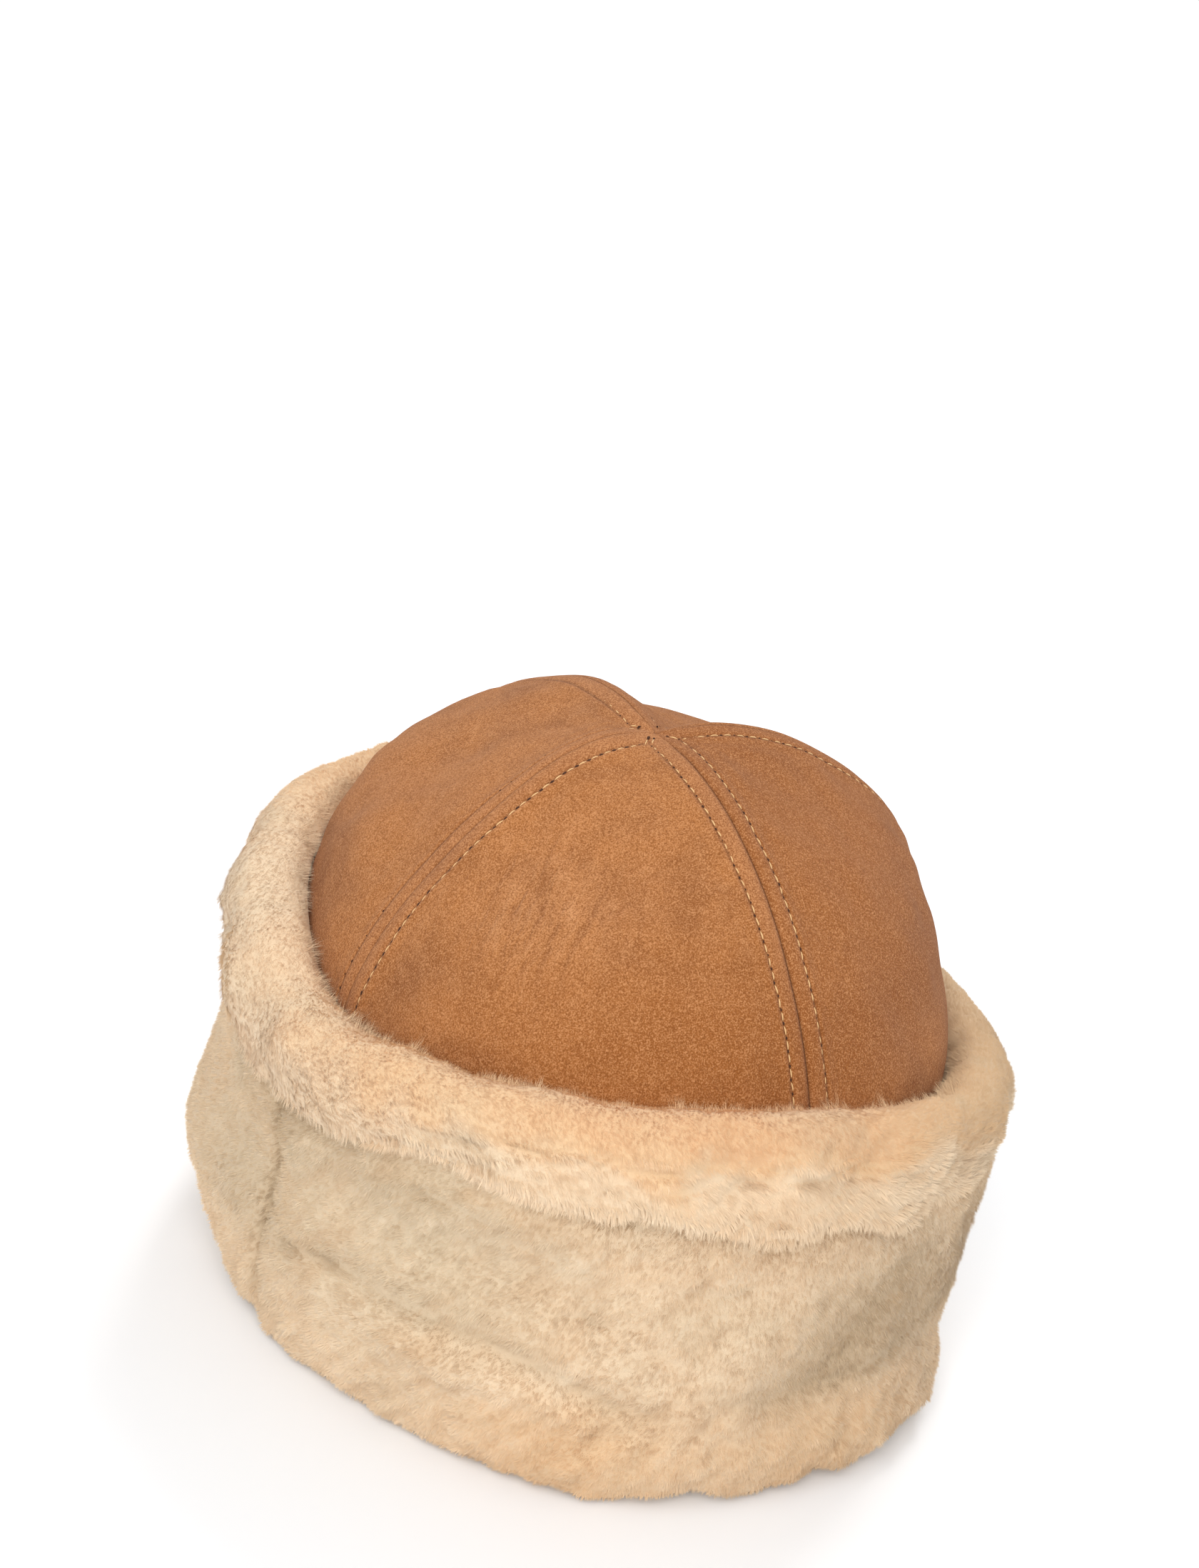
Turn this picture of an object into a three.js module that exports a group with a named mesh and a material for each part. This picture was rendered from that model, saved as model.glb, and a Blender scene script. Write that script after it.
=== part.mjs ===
// Shearling hat: a suede crown of four gores that stands inside a turned-up cuff of deep sheared fur.
// Millimetres, +Z up. The front is -Y and the wearer's left is +X. The hat rests on its rolled foot at z = 0.
// Angles are in degrees from the front towards the wearer's left.
import * as THREE from "three";

// The hide: skin outside and sheared pile inside, and the gap left between two sewn pieces.
const hideThickness = 8.5;
const seamGap = 0.3;

// Crown: it starts a little above the floor, on the fur that is rolled under it.
const crownFoot = 11;
const tipRadius = 0.8;

// The four seams. reach is the crown's widest radius there, and shoulder how far the dome stands out there.
const crownSeams = [
  { at: 0, reach: 110, shoulder: 0 },
  { at: 90, reach: 99, shoulder: 11 },
  { at: 180, reach: 112, shoulder: 14 },
  { at: 270, reach: 100, shoulder: 0 },
];

// The gore after each seam. puff is how far its middle stands out at the sides, sag how far it sinks on top.
const gores = [
  { name: "gore_front_left", puff: -3, sag: 6 },
  { name: "gore_back_left", puff: 3, sag: 14 },
  { name: "gore_back_right", puff: 4, sag: 6 },
  { name: "gore_front_right", puff: 4, sag: 6 },
];

// Levels of the crown from its lower edge to its tip. share is the part of the widest radius at a seam,
// and shoulder, puff and sag say how much of the amounts above acts there.
const crownLevels = [
  { z: crownFoot, share: 0.95, shoulder: 0, puff: 0, sag: 0 },
  { z: 45, share: 0.96, shoulder: 0, puff: 0, sag: 0 },
  { z: 85, share: 0.98, shoulder: 0, puff: 0, sag: 0 },
  { z: 112, share: 0.99, shoulder: 0, puff: 0.1, sag: 0 },
  { z: 126, share: 0.975, shoulder: 0.1, puff: 0.4, sag: 0 },
  { z: 140, share: 0.92, shoulder: 0.3, puff: 0.9, sag: 0 },
  { z: 153, share: 0.845, shoulder: 0.65, puff: 1, sag: 0.05 },
  { z: 165, share: 0.75, shoulder: 1, puff: 0.8, sag: 0.3 },
  { z: 176, share: 0.645, shoulder: 1, puff: 0.4, sag: 0.7 },
  { z: 186.5, share: 0.515, shoulder: 0.8, puff: 0, sag: 1 },
  { z: 195.5, share: 0.36, shoulder: 0.6, puff: 0, sag: 1 },
  { z: 200, share: 0.21, shoulder: 0.3, puff: 0, sag: 0.65 },
  { z: 200.5, share: 0.1, shoulder: 0, puff: 0, sag: 0.25 },
  { z: 199.5, share: 0, shoulder: 0, puff: 0, sag: 0 },
];
const widestLevels = 6; // rows that the cuff can stand beside

// The seam allowances lie open under the suede and raise a welt on each side of a seam.
const weltWidth = 6.5;
const weltHeight = 1.1;
const grooveDepth = 1.0;
const grooveWidth = 1.6;

// Cuff: its outline at twelve places round the hat. foot, belly, waist and rim are radii, crease is the
// height of the fold under the rim, and top is the height of the rim.
const cuffPlaces = [
  { at: 0, foot: 122, belly: 124, waist: 122, rim: 127, crease: 103, top: 138 },
  { at: 30, foot: 125, belly: 121.5, waist: 123, rim: 127, crease: 92, top: 125 },
  { at: 60, foot: 114, belly: 118, waist: 122, rim: 124, crease: 85, top: 114 },
  { at: 90, foot: 110, belly: 113, waist: 116, rim: 118, crease: 84, top: 112 },
  { at: 120, foot: 111, belly: 116, waist: 116, rim: 119, crease: 90, top: 117 },
  { at: 150, foot: 116, belly: 122, waist: 120, rim: 124, crease: 99, top: 128 },
  { at: 180, foot: 119, belly: 127, waist: 124, rim: 127, crease: 106, top: 138 },
  { at: 210, foot: 120, belly: 131, waist: 127, rim: 130, crease: 108, top: 143 },
  { at: 240, foot: 120, belly: 132, waist: 124, rim: 128, crease: 106, top: 137 },
  { at: 270, foot: 114, belly: 121, waist: 117, rim: 124, crease: 102, top: 126 },
  { at: 300, foot: 112, belly: 118, waist: 117, rim: 125, crease: 106, top: 134 },
  { at: 330, foot: 118.5, belly: 122, waist: 120, rim: 127, crease: 108, top: 140 },
];
const bellyHeight = 48;

// Corners that guide the cuff's section from under the crown's edge, over the flat that it rests on, up the
// fur side and over the rim to the suede: each lies so far out from one radius and so far up from one height.
const cuffGuide = [
  { radius: "mouth", out: -0.5, height: "floor", up: 8.5 },
  { radius: "mouth", out: -1.5, height: "floor", up: 4 },
  { radius: "foot", out: -20.5, height: "floor", up: 0.8 },
  { radius: "foot", out: -18, height: "floor", up: 0, rests: true },
  { radius: "foot", out: -9, height: "floor", up: 0, rests: true },
  { radius: "foot", out: -3, height: "floor", up: 4 },
  { radius: "foot", out: 1, height: "floor", up: 14 },
  { radius: "lowBelly", out: 0, height: "floor", up: 30 },
  { radius: "belly", out: 0, height: "floor", up: bellyHeight },
  { radius: "waist", out: 0, height: "waist", up: 0 },
  { radius: "tuck", out: -1, height: "crease", up: -9 },
  { radius: "tuck", out: -3.2, height: "crease", up: 0 },
  { radius: "rim", out: -1.5, height: "crease", up: 6 },
  { radius: "rim", out: 0, height: "roll", up: 0 },
  { radius: "rim", out: -4, height: "top", up: -4 },
  { radius: "rim", out: -10, height: "top", up: 0 },
  { radius: "suede", out: 4.5, height: "top", up: -1.5 },
  { radius: "suede", out: 0.2, height: "top", up: -7 },
];

// Soft folds pressed into the fur, each running from one angle and height to another.
const folds = [
  { from: -88, fromZ: 44, to: -64, toZ: 55, depth: 1.6, width: 5 },
  { from: -66, fromZ: 22, to: -22, toZ: 15, depth: 1.4, width: 6 },
  { from: 38, fromZ: 80, to: 2, toZ: 38, depth: 2.4, width: 7 },
  { from: 38, fromZ: 47, to: -14, toZ: 37, depth: 2.0, width: 6 },
  { from: 104, fromZ: 56, to: 152, toZ: 36, depth: 2.0, width: 7 },
  { from: 170, fromZ: 40, to: 232, toZ: 64, depth: 2.2, width: 7 },
];
const ledgeInset = 1.5; // from the mouth's edge to the ledge that the crown's edge sits on
const sideSeamDepth = 1.6; // the pile parts where the cuff's halves are joined
const sideSeamWidth = 5;

// The fur's locks overlap upwards in staggered rows, each one swelling towards its tip.
const lockRows = 4; // steps of the section in one lock
const lockColumns = 4; // steps round the hat in one lock
const lockHeight = 1.8;

const cuffSteps = 44; // along each half of the cuff
const outerSteps = 28; // of the cuff's section, round its fur side
const weltSteps = [0, 1.7, 4.5, 8.5]; // distances from a seam where a gore has its edge points
const goreSteps = 12; // across a gore

const { degToRad, radToDeg, lerp, clamp, euclideanModulo } = THREE.MathUtils;
const bump = (distance, width) => Math.exp(-((distance / width) ** 2));

// A soft step from 0 at start to 1 at end, which may run either way.
function smooth(start, end, x) {
  const t = clamp((x - start) / (end - start), 0, 1);
  return t * t * (3 - 2 * t);
}

// A curve through a column of a table: value is the column's number for a row, place a row or between two.
function through(value, place) {
  const row = Math.floor(place);
  const [before, low, high, after] = [value(row - 1), value(row), value(row + 1), value(row + 2)];
  const t = place - row;
  const slopeLow = (high - before) / 2;
  const slopeHigh = (after - low) / 2;
  const square = 3 * (high - low) - 2 * slopeLow - slopeHigh;
  const cube = 2 * (low - high) + slopeLow + slopeHigh;
  return low + t * (slopeLow + t * (square + t * cube));
}

function levelAt(column, place) {
  return through((row) => crownLevels[clamp(row, 0, crownLevels.length - 1)][column], place);
}

function placeAt(column, degrees) {
  const rows = cuffPlaces.length;
  const place = (euclideanModulo(degrees, 360) * rows) / 360;
  return through((row) => cuffPlaces[euclideanModulo(row, rows)][column], place);
}

function around(degrees, radius, z) {
  const angle = degToRad(degrees);
  return new THREE.Vector3(radius * Math.sin(angle), -radius * Math.cos(angle), z);
}

// The welt and its groove beside a seam, which die away towards the crown's tip.
function seamRelief(distance, radius) {
  const welt = weltHeight * (1 - smooth(weltWidth - 1.5, weltWidth + 1.5, distance));
  return (welt - grooveDepth * bump(distance, grooveWidth)) * smooth(2, 22, radius);
}

// Radius and height of the bare suede at an angle and a place in the table of levels.
function crownShape(degrees, level) {
  const turned = euclideanModulo(degrees, 360);
  const quarter = Math.floor(turned / 90);
  const [seam, next] = [crownSeams[quarter], crownSeams[(quarter + 1) % 4]];
  const angle = degToRad(turned - 90 * quarter);
  const reach = 1 / Math.hypot(Math.cos(angle) / seam.reach, Math.sin(angle) / next.reach);
  const shoulder = lerp(seam.shoulder, next.shoulder, smooth(0, 90, turned - 90 * quarter));
  const middle = Math.sin(2 * angle) ** 1.4;
  const { puff, sag } = gores[quarter];
  const stands = levelAt("shoulder", level) * shoulder + levelAt("puff", level) * puff * middle;
  return {
    radius: levelAt("share", level) * reach + stands,
    z: levelAt("z", level) - levelAt("sag", level) * sag * middle,
  };
}

// A point of a gore: its outside and its inside, which lies one hide deeper.
function crownPoints(degrees, level, fromSeam) {
  const here = crownShape(degrees, level);
  const below = crownShape(degrees, level - 0.05);
  const above = crownShape(degrees, level + 0.05);
  const out = new THREE.Vector2(above.z - below.z, below.radius - above.radius).normalize();
  if (level === 0) out.set(1, 0);
  const relief = seamRelief(fromSeam, here.radius);
  const insideRadius = Math.max(here.radius - hideThickness * out.x, tipRadius / 2);
  return {
    outside: around(degrees, here.radius + relief * out.x, here.z + relief * out.y),
    inside: around(degrees, insideRadius, here.z - hideThickness * out.y),
    insideRadius,
  };
}

// The radius that clears the crown's welts at a height below the dome.
function clearRadius(degrees, z) {
  const rows = crownLevels.slice(0, widestLevels);
  const row = clamp(rows.findLastIndex((level) => level.z <= z), 0, widestLevels - 2);
  const share = (z - rows[row].z) / (rows[row + 1].z - rows[row].z);
  const [low, high] = [crownShape(degrees, row).radius, crownShape(degrees, row + 1).radius];
  return lerp(low, high, share) + weltHeight + seamGap;
}

// A closed surface that grows quad by quad.
class Skin {
  constructor() {
    this.corners = [];
    this.faces = [];
  }
  add(point) {
    this.corners.push(point.x, point.y, point.z);
    return this.corners.length / 3 - 1;
  }
  quad(a, b, c, d) {
    this.faces.push(a, b, c, a, c, d);
  }
  mesh(name, material) {
    const geometry = new THREE.BufferGeometry();
    geometry.setAttribute("position", new THREE.Float32BufferAttribute(this.corners, 3));
    geometry.setIndex(this.faces);
    geometry.computeVertexNormals();
    const made = new THREE.Mesh(geometry, material);
    made.name = name;
    return made;
  }
}

// Distances across a gore of a given width: close together at the two welts and even between them.
function acrossGore(width) {
  const last = weltSteps[weltSteps.length - 1];
  const narrow = Math.min(1, (0.36 * width) / last);
  const welt = weltSteps.map((x) => x * narrow);
  const between = goreSteps - 2 * (welt.length - 1);
  const edge = welt[welt.length - 1];
  const middle = Array.from({ length: between - 1 }, (_, i) => lerp(edge, width - edge, (i + 1) / between));
  return [...welt, ...middle, ...welt.map((x) => width - x).reverse()];
}

// One gore of the crown, from its seam to the next one a quarter turn on.
function gore({ name }, quarter) {
  const skin = new Skin();
  const start = crownSeams[quarter].at;
  const lastLevel = crownLevels.length - 1;
  const tipLevel = lastLevel - tipRadius / crownShape(start + 45, lastLevel - 1).radius;
  const levels = [...Array.from({ length: lastLevel }, (_, i) => i), tipLevel];
  const rows = levels.map((level) => {
    const width = (crownShape(start + 45, level).radius * Math.PI) / 2;
    return acrossGore(width).map((distance) => {
      const degrees = start + (90 * distance) / width;
      const { insideRadius } = crownPoints(degrees, level, width);
      const sewn = radToDeg(Math.asin(seamGap / 2 / insideRadius));
      const inSeam = lerp(start + sewn, start + 90 - sewn, distance / width);
      const { outside, inside } = crownPoints(inSeam, level, Math.min(distance, width - distance));
      return { outside: skin.add(outside), inside: skin.add(inside) };
    });
  });
  for (let i = 0; i < rows.length - 1; i++) {
    const [low, high] = [rows[i], rows[i + 1]];
    for (let j = 0; j < goreSteps; j++) {
      skin.quad(low[j].outside, low[j + 1].outside, high[j + 1].outside, high[j].outside);
      skin.quad(low[j].inside, high[j].inside, high[j + 1].inside, low[j + 1].inside);
    }
    const end = goreSteps;
    skin.quad(low[0].inside, low[0].outside, high[0].outside, high[0].inside);
    skin.quad(low[end].outside, low[end].inside, high[end].inside, high[end].outside);
  }
  const [bottom, top] = [rows[0], rows[rows.length - 1]];
  for (let j = 0; j < goreSteps; j++) {
    skin.quad(bottom[j].inside, bottom[j + 1].inside, bottom[j + 1].outside, bottom[j].outside);
    skin.quad(top[j].outside, top[j + 1].outside, top[j + 1].inside, top[j].inside);
  }
  return skin.mesh(name, suede);
}

// How far the folds and the parted pile at the side seams press the fur in.
function pressed(degrees, z) {
  let depth = 0;
  for (const fold of folds) {
    const share = (degrees - fold.from) / (fold.to - fold.from);
    const ends = smooth(-0.15, 0.2, share) * smooth(1.15, 0.8, share);
    depth += fold.depth * ends * bump(z - lerp(fold.fromZ, fold.toZ, share), fold.width);
  }
  const turn = Math.min(...[-90, 90, 270].map((seam) => Math.abs(degrees - seam)));
  return depth + sideSeamDepth * bump(degToRad(turn) * placeAt("waist", degrees), sideSeamWidth);
}

// How far a lock stands out at a step up the section and a step round the hat.
function lockRelief(up, round) {
  const row = Math.floor(up / lockRows);
  const swell = (up - row * lockRows) / (lockRows - 1);
  const column = euclideanModulo(round + (row % 2) * (lockColumns / 2), lockColumns) / lockColumns;
  return lockHeight * (swell * Math.sin(Math.PI * column) - 0.4);
}

// The section's guide corners at an angle, as radius and height.
function guideAt(degrees) {
  const [foot, belly, waist, rim, crease, top] = ["foot", "belly", "waist", "rim", "crease", "top"]
    .map((column) => placeAt(column, degrees));
  const radii = {
    mouth: crownShape(degrees, 0).radius - hideThickness,
    foot,
    lowBelly: lerp(foot, belly, 0.75),
    belly,
    waist,
    tuck: lerp(waist, rim, 0.4),
    rim,
    suede: clearRadius(degrees, top + cuffGuide[cuffGuide.length - 1].up),
  };
  const heights = {
    floor: 0,
    waist: lerp(bellyHeight, crease, 0.5),
    crease,
    roll: lerp(crease, top, 0.55),
    top,
  };
  return cuffGuide.map((row) => [radii[row.radius] + row.out, heights[row.height] + row.up]);
}

// The cuff's section at an angle, as radius and height: under the foot, up the fur side, over the rim and
// down beside the crown. round is the step round the hat.
function cuffSection(degrees, round) {
  const guide = guideAt(degrees);
  const corners = guide.map(([radius, z]) => new THREE.Vector3(radius, 0, z));
  const curve = new THREE.CatmullRomCurve3(corners, false, "centripetal");
  const last = guide.length - 1;
  const furFrom = cuffGuide.findLastIndex((row) => row.rests);
  const section = Array.from({ length: outerSteps + 1 }, (_, i) => {
    const share = i / outerSteps;
    const place = share * last;
    const near = (corner) => Math.abs(place - corner) <= last / outerSteps / 2;
    const flat = cuffGuide.findIndex((row, corner) => row.rests && near(corner));
    if (flat >= 0) return guide[flat];
    const point = curve.getPoint(share);
    const slope = curve.getTangent(share);
    const amount = smooth(furFrom, furFrom + 1.5, place) * smooth(last, last - 2, place);
    const relief = amount * (lockRelief(i, round) - pressed(degrees, point.z));
    return [point.x + relief * slope.z, Math.max(0, point.z - relief * slope.x)];
  });
  const touch = guide[last][1];
  for (let row = widestLevels - 2; row > 0; row--) {
    const z = Math.min(crownLevels[row].z, touch - widestLevels + row);
    section.push([clearRadius(degrees, z), z]);
  }
  const ledge = crownFoot - seamGap;
  section.push([clearRadius(degrees, crownFoot), ledge]);
  section.push([guide[0][0] + ledgeInset, ledge]);
  return section;
}

// Half of the cuff, from one side seam round to the other.
function cuffHalf(name, start) {
  const skin = new Skin();
  const angles = Array.from({ length: cuffSteps + 1 }, (_, i) => start + (180 * i) / cuffSteps);
  const sections = angles.map((degrees, i) => cuffSection(degrees, i));
  const inset = (i) => (i === 0 ? seamGap / 2 : i === cuffSteps ? -seamGap / 2 : 0);
  const rings = sections.map((section, i) =>
    section.map(([radius, z]) => {
      const turn = radToDeg(Math.asin(inset(i) / radius));
      return skin.add(around(angles[i] + turn, radius, z));
    }),
  );
  const count = rings[0].length;
  for (let i = 0; i < cuffSteps; i++) {
    for (let j = 0; j < count; j++) {
      const k = (j + 1) % count;
      skin.quad(rings[i][j], rings[i + 1][j], rings[i + 1][k], rings[i][k]);
    }
  }
  const [first, last] = [rings[0], rings[cuffSteps]];
  const outline = (section) => section.map(([radius, z]) => new THREE.Vector2(radius, z));
  for (const [a, b, c] of THREE.ShapeUtils.triangulateShape(outline(sections[0]), [])) {
    skin.faces.push(first[a], first[b], first[c]);
  }
  for (const [a, b, c] of THREE.ShapeUtils.triangulateShape(outline(sections[cuffSteps]), [])) {
    skin.faces.push(last[c], last[b], last[a]);
  }
  return skin.mesh(name, fur);
}

const suede = new THREE.MeshStandardMaterial({ color: 0xb27a48, roughness: 0.95, metalness: 0 });
const fur = new THREE.MeshStandardMaterial({ color: 0xe3cba4, roughness: 1, metalness: 0 });

const hat = new THREE.Group();
gores.forEach((row, quarter) => hat.add(gore(row, quarter)));
hat.add(cuffHalf("cuff_front", -90));
hat.add(cuffHalf("cuff_back", 90));

// The origin lies on the floor, under the middle of the hat's outline.
const box = new THREE.Box3().setFromObject(hat);
const middle = box.getCenter(new THREE.Vector3());
hat.position.set(-middle.x, -middle.y, -box.min.z);

export default hat;
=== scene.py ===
import math
import bpy
import numpy as np
from mathutils import Matrix, Vector


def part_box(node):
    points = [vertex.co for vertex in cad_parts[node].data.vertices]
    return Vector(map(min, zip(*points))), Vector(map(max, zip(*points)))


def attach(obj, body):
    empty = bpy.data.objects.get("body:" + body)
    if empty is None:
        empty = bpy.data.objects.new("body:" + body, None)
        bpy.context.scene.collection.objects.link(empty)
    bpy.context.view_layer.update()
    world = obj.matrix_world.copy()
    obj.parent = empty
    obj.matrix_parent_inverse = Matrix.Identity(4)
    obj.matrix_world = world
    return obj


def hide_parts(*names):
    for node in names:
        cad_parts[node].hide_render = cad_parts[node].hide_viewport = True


# The hat is laid out in millimetres round the crown's axis. Angles are in degrees from the front (-Y)
# towards the wearer's left (+X), as in the CAD model.
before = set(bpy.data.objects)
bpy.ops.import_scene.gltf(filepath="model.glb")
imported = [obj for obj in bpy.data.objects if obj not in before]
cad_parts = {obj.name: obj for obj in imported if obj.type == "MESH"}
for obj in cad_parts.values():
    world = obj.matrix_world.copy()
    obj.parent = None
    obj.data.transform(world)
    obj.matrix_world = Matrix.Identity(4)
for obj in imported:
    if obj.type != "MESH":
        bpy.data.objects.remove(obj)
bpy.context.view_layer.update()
mm = 0.001
axisX = (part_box("gore_front_left")[0].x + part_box("gore_front_right")[1].x) / 2
axisY = (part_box("gore_front_left")[1].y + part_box("gore_back_left")[0].y) / 2
axisFoot = np.array([axisX, axisY, 0.0])


def deselectAll():
    bpy.ops.object.select_all(action="DESELECT")


def makeActive(piece):
    deselectAll()
    piece.select_set(True)
    bpy.context.view_layer.objects.active = piece


def step(start, end, x):
    t = np.clip((x - start) / (end - start), 0, 1)
    return t * t * (3 - 2 * t)


def bump(x, width):
    return np.exp(-(x / width) ** 2)


def around(degrees, radius, z):
    angle = np.radians(degrees)
    radius, z, angle = np.broadcast_arrays(radius, z, angle)
    return np.stack([radius * np.sin(angle), -radius * np.cos(angle), z], -1)


def unit(vectors):
    return vectors / np.maximum(np.linalg.norm(vectors, axis=-1, keepdims=True), 1e-9)


# The same angle from -90, the wearer's right, to 270, as the tables by angle run.
def fromRight(degrees):
    return (degrees + 90) % 360 - 90


# A smooth curve from low to high at share t, its slopes set by the values before and after them.
def smoothBetween(before, low, high, after, t):
    slopeLow, slopeHigh = (high - before) / 2, (after - low) / 2
    square = 3 * (high - low) - 2 * slopeLow - slopeHigh
    cube = 2 * (low - high) + slopeLow + slopeHigh
    return low + t * (slopeLow + t * (square + t * cube))


# Smooth random lumps of about one size, the same on each run, from waves that cross.
def lumps(points, size, seed, waves=26):
    draw = np.random.default_rng(seed)
    facing = unit(draw.normal(size=(waves, 3)))
    turns = facing * (2 * math.pi / size * draw.uniform(0.55, 1.3, (waves, 1)))
    phase = draw.uniform(0, 2 * math.pi, waves)
    total = np.zeros(points.shape[:-1])
    for turn, start in zip(turns, phase):
        total += np.sin(points @ turn + start)
    return total * math.sqrt(2 / waves)


def readPlaces(mesh):
    flat = np.empty(len(mesh.vertices) * 3)
    mesh.vertices.foreach_get("co", flat)
    return flat.reshape(-1, 3)


# A primitive grid, pulled into shape: places holds a point for each column and row.
def sheet(name, places):
    across, along = places.shape[0] - 1, places.shape[1] - 1
    deselectAll()
    bpy.ops.mesh.primitive_grid_add(x_subdivisions=across, y_subdivisions=along, size=1)
    made = bpy.context.object
    made.name = made.data.name = name
    flat = readPlaces(made.data)
    column = np.rint((flat[:, 0] + 0.5) * across).astype(int)
    row = np.rint((flat[:, 1] + 0.5) * along).astype(int)
    moved = places[column, row] * mm + axisFoot
    made.data.vertices.foreach_set("co", moved.ravel())
    made.data.update()
    return made, column, row


def addPiece(name, mesh):
    piece = bpy.data.objects.new(name, mesh)
    bpy.context.collection.objects.link(piece)
    return piece


def writeAttributes(piece, **attributes):
    for name, values in attributes.items():
        layer = piece.data.attributes.new(name=name, type="FLOAT", domain="POINT")
        layer.data.foreach_set("value", np.ascontiguousarray(values, dtype=np.float32).ravel())


def finishPiece(piece, slot, *nodes):
    if nodes:
        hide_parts(*nodes)
    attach(piece, "root")


# A socket with arithmetic, so that shader maths reads as plain expressions.
class Wire:
    def __init__(self, tree, socket):
        self.tree, self.socket = tree, socket

    def node(self, kind, settings=None, values=None, out=0):
        made = self.tree.nodes.new(kind)
        for key, value in (settings or {}).items():
            setattr(made, key, value)
        for key, value in (values or {}).items():
            if isinstance(value, Wire):
                self.tree.links.new(value.socket, made.inputs[key])
            else:
                made.inputs[key].default_value = value
        return Wire(self.tree, made.outputs[out])

    def maths(self, operation, first, second):
        return self.node("ShaderNodeMath", {"operation": operation}, {0: first, 1: second})

    def __add__(self, other):
        return self.maths("ADD", self, other)

    __radd__ = __add__

    def __sub__(self, other):
        return self.maths("SUBTRACT", self, other)

    def __rsub__(self, other):
        return self.maths("SUBTRACT", other, self)

    def __mul__(self, other):
        return self.maths("MULTIPLY", self, other)

    __rmul__ = __mul__

    def between(self, low, high):
        return self.node("ShaderNodeMapRange", {"interpolation_type": "SMOOTHSTEP"},
                         {"Value": self, "From Min": low, "From Max": high})

    def noise(self, size, detail=2.0, distortion=0.0, roughness=0.5):
        values = {"Vector": self, "Scale": 1 / size, "Detail": detail,
                  "Distortion": distortion, "Roughness": roughness}
        return self.node("ShaderNodeTexNoise", {}, values, "Fac")

    # Places measured in two directions, each in lengths of its own, for a pattern that is drawn out.
    def stretched(self, first, firstSize, second, secondSize):
        def measured(towards, size):
            scaled = tuple(part / size for part in towards)
            return self.node("ShaderNodeVectorMath", {"operation": "DOT_PRODUCT"},
                             {0: self, 1: scaled}, "Value")
        return self.node("ShaderNodeCombineXYZ", {}, {"X": measured(first, firstSize),
                                                      "Y": measured(second, secondSize)})

    # The first colour where this value is 0, and the second where it is 1.
    def pick(self, first, second):
        return self.node("ShaderNodeMix", {"data_type": "RGBA"}, {0: self, 6: first, 7: second}, 2)

    def relief(self, strength, distance):
        return self.node("ShaderNodeBump", {}, {"Strength": strength, "Distance": distance, "Height": self})


# Colours of a look laid over a base one by one, each by its amount.
def layered(base, look, layers):
    for amount, colour in layers:
        base = amount.pick(base, look[colour])
    return base


def srgb(red, green, blue):
    def linear(value):
        value /= 255
        return value / 12.92 if value <= 0.04045 else ((value + 0.055) / 1.055) ** 2.4
    return (linear(red), linear(green), linear(blue), 1)


def newMaterial(name, **fixed):
    material = bpy.data.materials.new(name)
    material.use_nodes = True
    shader = material.node_tree.nodes["Principled BSDF"]
    for socket, value in fixed.items():
        shader.inputs[socket.replace("_", " ")].default_value = value
    start = Wire(material.node_tree, None)
    place = start.node("ShaderNodeTexCoord", out="Object")

    def attribute(attributeName):
        return start.node("ShaderNodeAttribute", {"attribute_name": attributeName}, out="Fac")

    def join(**links):
        for socket, wire in links.items():
            material.node_tree.links.new(wire.socket, shader.inputs[socket.replace("_", " ")])
    return material, place, attribute, join


suedeLook = {
    "tan": srgb(173, 111, 60), "dark": srgb(132, 78, 38), "light": srgb(204, 146, 98),
    # deep and the last colour here are painted shade: on the crown's shaded side, and in the stitch lines
    # and grooves
    "band": srgb(174, 117, 77), "deep": srgb(134, 73, 22), "holeShade": srgb(84, 47, 23),
    "mottleSize": 0.028, "napSize": 0.0075, "grainSize": 0.0005, "fleckSize": 0.0008,
    "fleckTurn": (0.5, 0.3, 0.8), "fleckStretch": (1, 1, 0.28),
    "acrossWrinkles": (0.75, -0.63, -0.17), "wrinkleWidth": 0.0033,
    "alongWrinkles": (0.44, 0.31, 0.84), "wrinkleLength": 0.013,
}
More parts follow.
